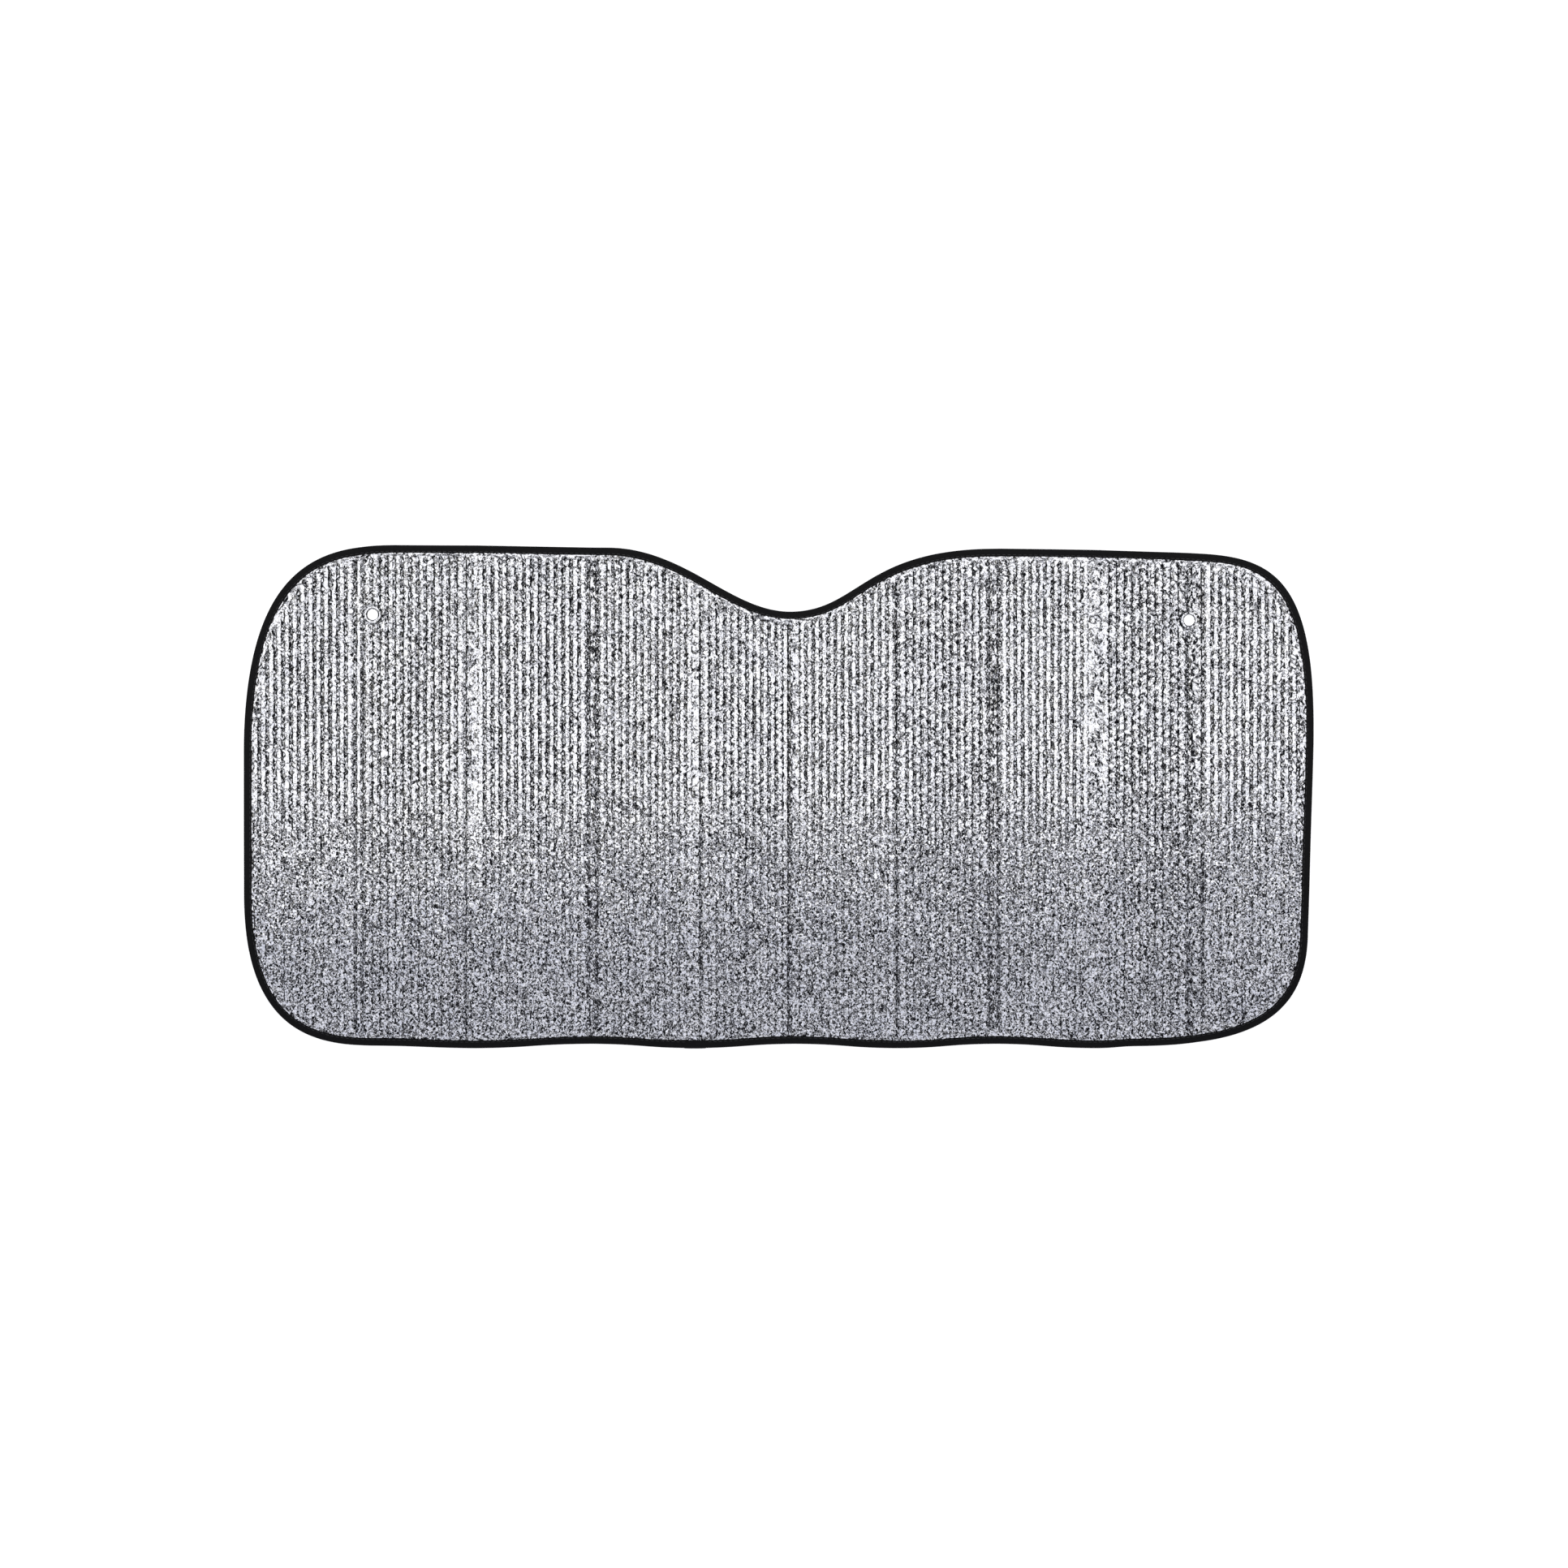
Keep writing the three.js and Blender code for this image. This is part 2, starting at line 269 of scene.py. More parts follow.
def back_height(points):
    """Height of the sheet's back: rounded accordion, the panels' bows and the film's slow waves."""
    offsets = np.linspace(-fold_round, fold_round, 7)
    folded = np.mean(
        [np.interp(points[:, 0] + o, zigzag_places, zigzag_rises) for o in offsets], axis=0)
    slow = waves(points, **slow_waves)
    above_floor = smooth(folded / fold_rise)
    return folded + above_floor * (panel_bows(points) + slow_wave_height * slow) + gap_to_floor


# Bubble lattice: one hexagonal cell for each air bubble, in columns between the creases

bubble_spacing = 10.57
bubble_top = 3.0
bubble_shoulder = 2.85
bubble_half_width = 2.25
bubble_shoulder_length = 2.7
bridge_half_width = 1.9
bridge_height = 2.5
valley_height = 1.55
corner_place = 0.37
rung_height = 2.75

# Panels with cross lines between their columns, like a ladder, beside every fifth bubble
laddered_panels = (6, 8, 9)
bubbles_per_rung = 5

# The flattened band at a crease
crease_lip = 1.65
crease_floor = 1.8
crease_floor_unevenness = 0.58
crease_point_spacing = 3.4
groove_height = 1.05
groove_half_width = 2.4
groove_unevenness = 0.30
shoulder_height = 2.3
shoulder_unevenness = 0.15

# Each crease's reach to the left and right of the fold, and the places of its pressed grooves
crease_bands = [
    (6.0, 6.0, (-4.0, 3.9)),
    (13.0, 3.0, (-11.0,)),
    (5.0, 9.0, (-3.0, 6.8)),
    (3.0, 9.0, (6.7,)),
    (14.0, 4.0, (-7.6,)),
    (3.0, 3.5, (0.9,)),
    (9.5, 5.5, (-7.0, 2.9)),
    (8.0, 8.0, ()),
    (14.0, 7.0, (-12.0, 4.8)),
]

# How much painted shade the pressed grooves of each crease get, in dashes, and how much in the taut and
# slack film
crease_shade = np.array([0.4, 0.5, 0.9, 0.6, 1.0, 0.8, 0.9, 0.0, 0.9])
shade_where_taut = 0.22
shade_added_by_slack = 0.68
shade_lowest_draw = -0.8

# Kinds of points, and how far the points of each kind stray sideways
kind_centre, kind_ring, kind_bridge, kind_valley, kind_crease, kind_groove, kind_rim = range(7)
stray_of_kind = np.array([0.0, 0.25, 0.5, 0.5, 0.0, 0.0, 0.0])

# The film is taut above this place and slack from this much lower down
taut_above = 30.0
slack_below = 130.0

# Unevenness of the bubbles, and the level that slack film sinks or rises towards
fullness_spread = 0.09
lean_spread = 0.030
looseness_where_taut = 0.14
looseness_added_by_slack = 0.11
bridge_looseness = 1.7
slack_level = 2.4
slack_share = 0.32

# Bubbles beside a crease: how far they are squeezed, towards what height, how far out and where
crush_share = 0.6
crushed_height = 2.2
crush_reach = 8.0
crush_from = 0.5
crush_patches = {"count": 12, "shortest": 14, "longest": 60, "seed": 21}


def panel_lattice(panel):
    """Points of one panel's bubbles: x, y, height, kind and the number of the bubble."""
    start = fold_places[panel] + (crease_bands[panel - 1][1] if panel > 0 else 0)
    end = fold_places[panel + 1] - (crease_bands[panel][0] if panel < len(crease_bands) else 0)
    columns = max(1, round((end - start) / column_pitch))
    pitch = (end - start) / columns
    laddered = panel in laddered_panels
    shift = random.uniform(0, bubble_spacing)
    rows = int(shade_height / bubble_spacing) + 3
    found = []
    for column in range(columns):
        x = start + (column + 0.5) * pitch
        for row in range(rows):
            y = (bottom - bubble_spacing + row * bubble_spacing
                 + (column % 2) * bubble_spacing / 2 + shift)
            bubble = (panel * 100 + column) * 100 + row
            found.append((x, y, bubble_top, kind_centre, bubble))
            for side in (-1, 1):
                for end_side in (-1, 1):
                    found.append((x + side * bubble_half_width, y + end_side * bubble_shoulder_length,
                                  bubble_shoulder, kind_ring, bubble))
                found.append((x + side * bridge_half_width, y + bubble_spacing / 2,
                              bridge_height, kind_bridge, bubble))
                found.append((x + side * corner_place * pitch, y + bubble_spacing / 2,
                              valley_height, kind_valley, bubble))
            in_step = (row + 2 * (column % 2)) % bubbles_per_rung == 0
            rung = laddered and column < columns - 1 and in_step
            for side in (-1, 1):
                height = rung_height if rung and side > 0 else valley_height
                kind = kind_bridge if rung and side > 0 else kind_valley
                found.append((x + pitch / 2, y + side * bubble_spacing / 4, height, kind, bubble))
            if column == 0:
                for step in (-1, 0, 1):
                    found.append((start, y + step * bubble_spacing / 4,
                                  crease_lip, kind_valley, bubble))
            if column == columns - 1:
                found.append((end, y, crease_lip, kind_valley, bubble))
    return found


def crease_lines():
    """Points of the flattened, crinkled band at each crease, with its pressed grooves."""
    clear_of_groove = 1.8 * groove_half_width
    found = []
    for fold, (reach_left, reach_right, grooves) in zip(crease_places, crease_bands):
        lines = []
        for groove in grooves:
            lines.append((groove, groove_height, groove_unevenness, kind_groove))
            for side in (-1, 1):
                lines.append((groove + side * groove_half_width,
                              shoulder_height, shoulder_unevenness, kind_crease))
        steps = max(2, round((reach_left + reach_right) / crease_point_spacing))
        for offset in np.linspace(-reach_left, reach_right, steps + 1)[1:-1]:
            if all(abs(offset - groove) > clear_of_groove for groove in grooves):
                lines.append((offset, crease_floor, crease_floor_unevenness, kind_crease))
        for offset, level, unevenness, kind in lines:
            for y in np.arange(bottom, top, crease_point_spacing):
                place = (fold + offset + random.normal(0, 0.3), y + random.uniform(-1, 1))
                found.append((*place, level + random.normal(0, unevenness), kind, -1))
    return found


def slackness(points):
    """0 where the film is taut, in the upper half, and 1 where it is slack, in the lower half."""
    return smooth((taut_above - points[:, 1]) / slack_below)


def bubble_jitter(table):
    """Every bubble has its own fullness and lean, and the film between them is uneven."""
    kinds = table[:, 3].astype(int)
    numbers, which = np.unique(table[:, 4].astype(int), return_inverse=True)
    fullness = random.normal(0, fullness_spread, len(numbers))
    lean_x = random.normal(0, lean_spread, len(numbers))
    lean_y = random.normal(0, lean_spread, len(numbers))
    centres = np.zeros((len(numbers), 2))
    middle = kinds == kind_centre
    centres[which[middle]] = table[middle, :2]
    raised = (kinds == kind_centre) | (kinds == kind_ring)
    away = table[:, :2] - centres[which]
    change = fullness[which] + lean_x[which] * away[:, 0] + lean_y[which] * away[:, 1]
    height = table[:, 2] + np.where(raised, change, 0)
    slack = slackness(table)
    pressed = (kinds == kind_crease) | (kinds == kind_groove)
    looseness = ((looseness_where_taut + looseness_added_by_slack * slack)
                 * np.where(kinds == kind_bridge, bridge_looseness, 1.0) * ~pressed)
    height = slack_level + (height - slack_level) * np.where(pressed, 1, 1 - slack_share * slack)
    return height + random.normal(0, 1, len(table)) * looseness


def crushed(points, height):
    """Bubbles beside a crease are partly squeezed flat by the folding."""
    gap = np.full(len(points), 1000.0)
    for fold, (reach_left, reach_right, _) in zip(crease_places, crease_bands):
        across = points[:, 0] - fold
        gap = np.minimum(gap, np.maximum(across - reach_right, -reach_left - across))
    patch = smooth(0.6 + 0.6 * waves(points, **crush_patches))
    fading = crush_share * np.exp(-(gap / crush_reach) ** 2)
    return height + fading * patch * (crushed_height - height) * (gap > crush_from)


# Start, end, height and width of each larger wrinkle of the film
wrinkles = [
    ((566.0, 236.0), (604.0, 168.0), 0.9, 4.5),
    ((585.0, 240.0), (622.0, 150.0), 0.8, 4.0),
    ((545.0, 262.0), (588.0, 214.0), 0.8, 5.0),
    ((600.0, 190.0), (632.0, 110.0), 0.7, 4.0),
    ((-132.0, 282.0), (-96.0, 196.0), 0.9, 5.0),
    ((-160.0, 288.0), (-128.0, 236.0), 0.8, 4.5),
    ((-104.0, 262.0), (-72.0, 226.0), 0.7, 4.0),
    ((496.0, 206.0), (478.0, 176.0), 0.8, 3.5),
    ((503.0, 206.0), (508.0, 170.0), 0.8, 3.5),
    ((508.0, 220.0), (530.0, 214.0), 0.6, 3.5),
]


def wrinkled(points):
    """How far the larger wrinkles lift the film."""
    rise = np.zeros(len(points))
    for start, end, height, width in wrinkles:
        start, end = np.array(start), np.array(end)
        along = end - start
        share = np.clip((points - start) @ along / (along @ along), 0, 1)
        gap = np.linalg.norm(points - (start + share[:, None] * along), axis=1)
        rise += height * np.exp(-(gap / width) ** 2) * np.sin(math.pi * (0.15 + 0.7 * share))
    return rise


def hole_gap(points):
    """Distance from the middle of the nearest hole."""
    return np.min([np.hypot(points[:, 0] - x, points[:, 1] - y) for x, y in holes], axis=0)


# The film beside the tape: how deep each row of points lies, its height and how far its pleats
# stand out. The lattice and its wrinkles start further in
puckered_rows = [(8.6, rim_top, 0.0), (10.7, 2.1, 0.42), (13.2, 2.5, 0.50)]
lattice_from_edge = 14.6
wrinkles_fade_in = 6.0
rim_spacing = 4.0

# The film round a hole: radius, height and pleats of each ring of points
hole_rings = [
    (7.2, 1.45, 0.0),
    (8.2, pressed_ring_thickness, 0.0),
    (pressed_ring_radius, pressed_ring_thickness, 0.0),
    (13.0, 2.6, 0.45),
]
lattice_from_hole = 14.4
hole_steps = 48

# The plain back: the rows of points beside the rim, where it comes down to the full depth, and
# the columns of points along the creases and in the middle of the panels
back_rim_depth = 8.8
back_inner_depth = 11.5
back_slope = 2.5
back_from_edge = 8.0
back_from_hole = 2.0
back_column_margin = 12.0
back_column_points = 24
back_beside_crease = 3.5


def circle(centre, radius, count):
    """Points of a circle."""
    turns = 2 * math.pi * np.arange(count) / count
    return np.column_stack([centre[0] + radius * np.cos(turns), centre[1] + radius * np.sin(turns)])


def boundary_loops():
    """The rim's outline and the edges of the holes, shared by the film's front and back."""
    points, inward, _ = even_outline(rim_spacing)
    loops = [points + inward * rim_inset]
    for centre in holes:
        loops.append(circle(centre, hole_radius, hole_steps))
    return loops


def triangulated(points, loops):
    """Delaunay triangles of the points, inside the outline and outside the holes."""
    edges = []
    first = 0
    for loop in loops:
        count = len(loop)
        edges += [(first + i, first + (i + 1) % count) for i in range(count)]
        first += count
    points = points.astype(np.float32).astype(float)
    flat = [Vector((x, y)) for x, y in points]
    _, _, faces, originals, _, _ = delaunay_2d_cdt(flat, edges, [], 0, 1e-6, True)
    index = np.array([ids[0] for ids in originals])
    triangles = index[np.array(faces)]
    a, b, c = (points[triangles[:, corner]] for corner in range(3))
    area = (b[:, 0] - a[:, 0]) * (c[:, 1] - a[:, 1]) - (b[:, 1] - a[:, 1]) * (c[:, 0] - a[:, 0])
    triangles[area < 0] = triangles[area < 0][:, ::-1]
    middles = (a + b + c) / 3
    kept = hole_gap(middles) > hole_radius * math.cos(math.pi / hole_steps)
    # A triangle between three points of the rim is inside if they go round it as the rim does
    in_order = np.sort(triangles, axis=1)
    a, b, c = (points[in_order[:, corner]] for corner in range(3))
    turning = (b[:, 0] - a[:, 0]) * (c[:, 1] - a[:, 1]) - (b[:, 1] - a[:, 1]) * (c[:, 0] - a[:, 0])
    kept &= (in_order[:, 2] >= len(loops[0])) | (turning > 0)
    return triangles[kept]


def film_front(loops):
    """Points with heights above the back, kinds and triangles of the bubbled front."""
    lattice = [point for panel in range(len(panel_widths)) for point in panel_lattice(panel)]
    table = np.array(lattice + crease_lines())
    height = bubble_jitter(table)
    kinds = table[:, 3].astype(int)
    points = table[:, :2].copy()
    points += stray_of_kind[kinds][:, None] * random.normal(0, 1, points.shape)
    height = crushed(points, height)
    depths = distance_inside(points)
    kept = (depths > lattice_from_edge) & (hole_gap(points) > lattice_from_hole)
    bubbled, bubbled_height = points[kept], height[kept]
    bubbled_height += wrinkled(bubbled) * smooth((depths[kept] - lattice_from_edge) / wrinkles_fade_in)
    rows = list(loops)
    heights = [np.full(len(loops[0]), rim_top)]
    heights += [np.full(len(loop), pressed_ring_thickness) for loop in loops[1:]]
    even, inward, _ = even_outline(rim_spacing)
    for depth, level, pleat in puckered_rows:
        rows.append(even + inward * (depth + random.normal(0, 0.5 * pleat, (len(even), 1))))
        heights.append(level + random.normal(0, pleat, len(even)))
    for centre in holes:
        for radius, level, pleat in hole_rings:
            count = hole_steps if pleat == 0 else hole_steps // 2
            in_and_out = np.where(np.arange(count) % 2, 1, -1)
            rows.append(circle(centre, radius, count))
            heights.append(level + pleat * in_and_out * random.uniform(0.4, 1, count))
    flat_kinds = np.full(sum(len(row) for row in rows), kind_rim)
    points = np.vstack([*rows, bubbled])
    height = np.concatenate([*heights, bubbled_height])
    kinds = np.concatenate([flat_kinds, kinds[kept]])
    return points, height, kinds, triangulated(points, loops)


def film_back(loops):
    """Points with heights above the back, and triangles of the plain back."""
    even, inward, _ = even_outline(rim_spacing)
    extra = [even + inward * back_rim_depth, even + inward * back_inner_depth]
    rows = np.linspace(bottom + back_column_margin, top - back_column_margin, back_column_points)
    panel_middles = (fold_places[1:] + fold_places[:-1]) / 2
    for x in np.concatenate([crease_places - back_beside_crease, crease_places,
                             crease_places + back_beside_crease, panel_middles]):
        extra.append(np.column_stack([np.full(len(rows), x), rows]))
    extra = np.vstack(extra)
    kept = distance_inside(extra) > back_from_edge
    kept &= hole_gap(extra) > hole_radius + back_from_hole
    points = np.vstack([np.vstack(loops), extra[kept]])
    height = rim_underside * (1 - smooth((distance_inside(points) - back_rim_depth) / back_slope))
    return points, height, triangulated(points, loops)


def mesh_object(name, vertices, faces, rounded):
    """Object from points in the part's millimetres, with smooth shading where it is rounded."""
    mesh = bpy.data.meshes.new(name)
    mesh.from_pydata([tuple(v) for v in (np.asarray(vertices) + to_row_frame) * MM], [], faces)
    mesh.validate()
    piece = bpy.data.objects.new(name, mesh)
    bpy.context.scene.collection.objects.link(piece)
    mesh.polygons.foreach_set("use_smooth", [rounded] * len(mesh.polygons))
    return piece


def foil_sheet():
    """The bubbled front and the plain back, joined by walls at the rim and in the holes."""
    loops = boundary_loops()
    front, front_height, kinds, front_triangles = film_front(loops)
    back, back_layer, back_triangles = film_back(loops)
    upper = np.column_stack([front, back_height(front) + front_height])
    lower = np.column_stack([back, back_height(back) + back_layer])
    vertices = np.vstack([upper, lower])
    faces = front_triangles.tolist() + (back_triangles[:, ::-1] + len(upper)).tolist()
    first = 0
    for number, loop in enumerate(loops):
        count = len(loop)
        for i in range(count):
            a, b = first + i, first + (i + 1) % count
            wall = [a, a + len(upper), b + len(upper), b]
            faces.append(wall if number == 0 else wall[::-1])
        first += count
    piece = mesh_object("foil_sheet", vertices, faces, False)
    kinds = np.concatenate([kinds, np.full(len(lower), kind_rim)])
    # Painted shade along the pressed grooves, which the film's material colours near black
    groove_shade = piece.data.attributes.new("groove_shade", "FLOAT", "POINT")
    groove_shade.data.foreach_set("value", painted_groove_shade(vertices, kinds))
    return piece


def painted_groove_shade(vertices, kinds):
    """Painted shade: dashes along the pressed grooves that are coloured near black, most of all in the
    lower half.
    """
    crease = np.abs(vertices[:, :1] - crease_places).argmin(axis=1)
    draws = np.random.default_rng(41).uniform(shade_lowest_draw, 1.0, len(vertices))
    dashes = np.clip(draws, 0, 1)
    amount = shade_where_taut + shade_added_by_slack * slackness(vertices)
    return dashes * amount * crease_shade[crease] * (kinds == kind_groove)


# Edge tape, folded round the rim and sewn through

stitch_pitch = 6.4
stitch_line = 7.6
stitch_reach = 0.36 * stitch_pitch
rings_per_stitch = 4
tape_ring_spacing = stitch_pitch / rings_per_stitch
lap_growth = tape_thickness * 0.9
thread_radius = 0.24
thread_sides = 6
thread_rings = 5
thread_sink = 0.42


def tape_section(stitched, grow):
    """Distance inwards and height of the tape's section. stitched is 1 at a stitch's hole."""
    outer_top = tape_height + grow
    outer_under = -grow
    dip = 0.22 * stitched
    nose = tape_height / 2
    front = [
        (tape_width, outer_top - 0.10 - dip / 2),
        (stitch_line + 0.9, outer_top - 0.05 - dip),
        (stitch_line, outer_top - dip * 1.2),
        (stitch_line - 1.2, outer_top - 0.02 - dip / 2),
        (4.8, outer_top + 0.06),
        (3.0, outer_top + 0.05),
    ]
    angles = np.radians(np.linspace(90, 270, 9))
    reach = nose + grow
    turn = [(nose + 0.15 + reach * 1.05 * math.cos(a), nose + reach * math.sin(a)) for a in angles]
    under = [
        (3.0, outer_under),
        (stitch_line - 1.2, outer_under + dip / 2),
        (stitch_line, outer_under + dip),
        (stitch_line + 0.9, outer_under + dip),
        (tape_width, outer_under + dip / 2),
    ]
    inner = [
        (tape_width + 0.05, tape_thickness * 0.6),
        (tape_width - 0.1, tape_thickness),
        (1.4, tape_thickness),
        (0.8, tape_height / 2),
        (1.4, tape_height - tape_thickness),
        (tape_width - 0.1, tape_height - tape_thickness),
        (tape_width + 0.05, tape_height - tape_thickness * 0.6),
    ]
    return np.array(front + turn + under + inner)


def edge_tape():
    """The tape's section carried round the outline, with its lap and a slightly uneven width."""
    points, inward, places = even_outline(tape_ring_spacing)
    length = places[-1] + places[1]
    turns = 2 * math.pi * places / length
    wobble = 0.22 * np.sin(9 * turns) + 0.16 * np.sin(31 * turns)
    lap_start = crease_places[lap_crease] + lap_from_crease
    rings = []
    across = []
    for number, (point, way, place) in enumerate(zip(points, inward, places)):
        stitched = 1.0 if number % rings_per_stitch == 0 else 0.0
        lapped = point[1] < 0 and lap_start < point[0] < lap_start + lap_length
        section = tape_section(stitched, lap_growth if lapped else 0.0)
        reach = section[:, :1] * (1 + wobble[number] / tape_width * (section[:, :1] > 4))
        flat = point + way * reach
        rings.append(np.column_stack([flat, back_height(flat) + section[:, 1]]))
        steps = np.linalg.norm(np.diff(section, axis=0), axis=1)
        across.append(np.concatenate([[0.0], np.cumsum(steps)]))
    sides = len(rings[0])
    count = len(rings)
    faces = []
    for ring in range(count):
        following = (ring + 1) % count
        for side in range(sides):
            next_side = (side + 1) % sides
            faces.append((ring * sides + side, ring * sides + next_side,
                          following * sides + next_side, following * sides + side))
    piece = mesh_object("edge_tape", np.vstack(rings), faces, True)
    layout = piece.data.uv_layers.new(name="along_the_tape")
    corner_vertices = np.empty(len(piece.data.loops), int)
    piece.data.loops.foreach_get("vertex_index", corner_vertices)
    uv = np.column_stack([np.repeat(places, sides), np.concatenate(across)])[corner_vertices] * MM
    # The faces that close the ring run on past the outline's length instead of back to 0
    last_ring = (length - 1.01 * tape_ring_spacing) * MM
    wraps = np.repeat(uv.reshape(-1, 4, 2)[:, :, 0].max(axis=1) > last_ring, 4)
    uv[wraps & (uv[:, 0] < 0.5 * length * MM), 0] += length * MM
    layout.data.foreach_set("uv", uv.ravel())
    return piece


def edge_stitching():
    """Lock stitches of dark thread along the tape's inner side, on its front and back."""
    _, _, places = even_outline(stitch_pitch)
    dense, dense_inward, dense_places = even_outline(0.8)
    sides = thread_sides
    vertices = []
    faces = []
    for place in places + stitch_pitch / 2:
        for face in (1, -1):
            base = len(vertices)
            for step in np.linspace(-1, 1, thread_rings):
                here = place + step * stitch_reach
                at = np.array([np.interp(here, dense_places, dense[:, axis]) for axis in (0, 1)])
                way = np.array([np.interp(here, dense_places, dense_inward[:, axis]) for axis in (0, 1)])
                middle = at + way * stitch_line
                level = tape_height + 0.10 if face > 0 else -0.02
                level -= face * thread_sink * abs(step) ** 3
                z = back_height(middle[None, :])[0] + level
                for side in range(sides):
                    angle = 2 * math.pi * side / sides
                    flat = middle + way * thread_radius * math.cos(angle)
                    vertices.append((flat[0], flat[1], z + thread_radius * math.sin(angle)))
            for ring in range(thread_rings - 1):
                for side in range(sides):
                    following = (side + 1) % sides
                    a, b = base + ring * sides + side, base + ring * sides + following
                    faces.append((a, b, b + sides, a + sides))
            faces.append(tuple(base + side for side in reversed(range(sides))))
            faces.append(tuple(base + (thread_rings - 1) * sides + side for side in range(sides)))
    return mesh_object("edge_stitching", vertices, faces, True)


# Materials

def new_material(name):
    """A node material, its nodes and links, and its shader."""
    material = bpy.data.materials.new(name)
    material.use_nodes = True
    nodes = material.node_tree.nodes
    return material, nodes, material.node_tree.links, nodes["Principled BSDF"]


def metallised_film():
    """Bright aluminium on thin film: glossy, finely crinkled, duller in patches, with painted shade in
    dashes along the pressed grooves.
    """
    material, nodes, links, shader = new_material("metallised_film")
    shader.inputs["Metallic"].default_value = 1.0
    shader.inputs["IOR"].default_value = 1.5
    place = nodes.new("ShaderNodeTexCoord")

    crinkle = nodes.new("ShaderNodeTexNoise")
    crinkle.inputs["Scale"].default_value = 400.0
    crinkle.inputs["Detail"].default_value = 1.0
    crinkle.inputs["Roughness"].default_value = 0.55
    crinkle.inputs["Distortion"].default_value = 0.6
    links.new(place.outputs["Object"], crinkle.inputs["Vector"])
    fine = nodes.new("ShaderNodeBump")
    fine.inputs["Distance"].default_value = 0.0004
    links.new(crinkle.outputs["Fac"], fine.inputs["Height"])

    # The smallest facets of the crinkled film, each with its own tilt, steeper in the lower half
    facet = nodes.new("ShaderNodeTexVoronoi")
    facet.inputs["Scale"].default_value = 450.0
    links.new(place.outputs["Object"], facet.inputs["Vector"])
    centred = nodes.new("ShaderNodeVectorMath")
    centred.operation = "SUBTRACT"
    centred.inputs[1].default_value = (0.5, 0.5, 0.5)
    links.new(facet.outputs["Color"], centred.inputs[0])
    position = nodes.new("ShaderNodeSeparateXYZ")
    links.new(place.outputs["Object"], position.inputs[0])
    slack = nodes.new("ShaderNodeMapRange")
    slack.interpolation_type = "SMOOTHSTEP"
    slack.inputs["From Min"].default_value = -0.07
    slack.inputs["From Max"].default_value = 0.03
    slack.inputs["To Min"].default_value = 0.72
    slack.inputs["To Max"].default_value = 0.36
    links.new(position.outputs["Y"], slack.inputs["Value"])
    # Painted shade along the pressed grooves: where it is marked, the colour goes near black and the
    # facets tilt less
    groove_shade = nodes.new("ShaderNodeAttribute")
    groove_shade.attribute_name = "groove_shade"
    stiff = nodes.new("ShaderNodeMapRange")
    stiff.inputs["To Min"].default_value = 1.0
    stiff.inputs["To Max"].default_value = 0.3
    links.new(groove_shade.outputs["Fac"], stiff.inputs["Value"])
    amount = nodes.new("ShaderNodeMath")
    amount.operation = "MULTIPLY"
    links.new(slack.outputs["Result"], amount.inputs[0])
    links.new(stiff.outputs["Result"], amount.inputs[1])
    tilt = nodes.new("ShaderNodeVectorMath")
    tilt.operation = "SCALE"
    links.new(centred.outputs["Vector"], tilt.inputs[0])
    links.new(amount.outputs["Value"], tilt.inputs["Scale"])
    tilted = nodes.new("ShaderNodeVectorMath")
    tilted.operation = "ADD"
    links.new(fine.outputs["Normal"], tilted.inputs[0])
    links.new(tilt.outputs["Vector"], tilted.inputs[1])
    evened = nodes.new("ShaderNodeVectorMath")
    evened.operation = "NORMALIZE"
    links.new(tilted.outputs["Vector"], evened.inputs[0])
    links.new(evened.outputs["Vector"], shader.inputs["Normal"])

    patch = nodes.new("ShaderNodeTexNoise")
    patch.inputs["Scale"].default_value = 26.0
    patch.inputs["Detail"].default_value = 5.0
    links.new(place.outputs["Object"], patch.inputs["Vector"])
    dullness = nodes.new("ShaderNodeMapRange")
    dullness.inputs["From Min"].default_value = 0.3
    dullness.inputs["From Max"].default_value = 0.7
    dullness.inputs["To Min"].default_value = 0.03
    dullness.inputs["To Max"].default_value = 0.10
    links.new(patch.outputs["Fac"], dullness.inputs["Value"])
    links.new(dullness.outputs["Result"], shader.inputs["Roughness"])
    tint = nodes.new("ShaderNodeValToRGB")
    tint.color_ramp.elements[0].position = 0.3
    tint.color_ramp.elements[0].color = (0.76, 0.77, 0.80, 1)
    tint.color_ramp.elements[1].position = 0.7
    tint.color_ramp.elements[1].color = (0.86, 0.865, 0.88, 1)
    links.new(patch.outputs["Fac"], tint.inputs["Fac"])
    # In a mix of colours, inputs 6 and 7 are the two colours and output 2 is the result
    # Painted shade: near black in dashes along the pressed grooves
    groove_shading = nodes.new("ShaderNodeMix")
    groove_shading.data_type = "RGBA"
    groove_shading.inputs[7].default_value = (0.05, 0.05, 0.06, 1)
    links.new(groove_shade.outputs["Fac"], groove_shading.inputs["Factor"])
    links.new(tint.outputs["Color"], groove_shading.inputs[6])
    links.new(groove_shading.outputs[2], shader.inputs["Base Color"])
    return material


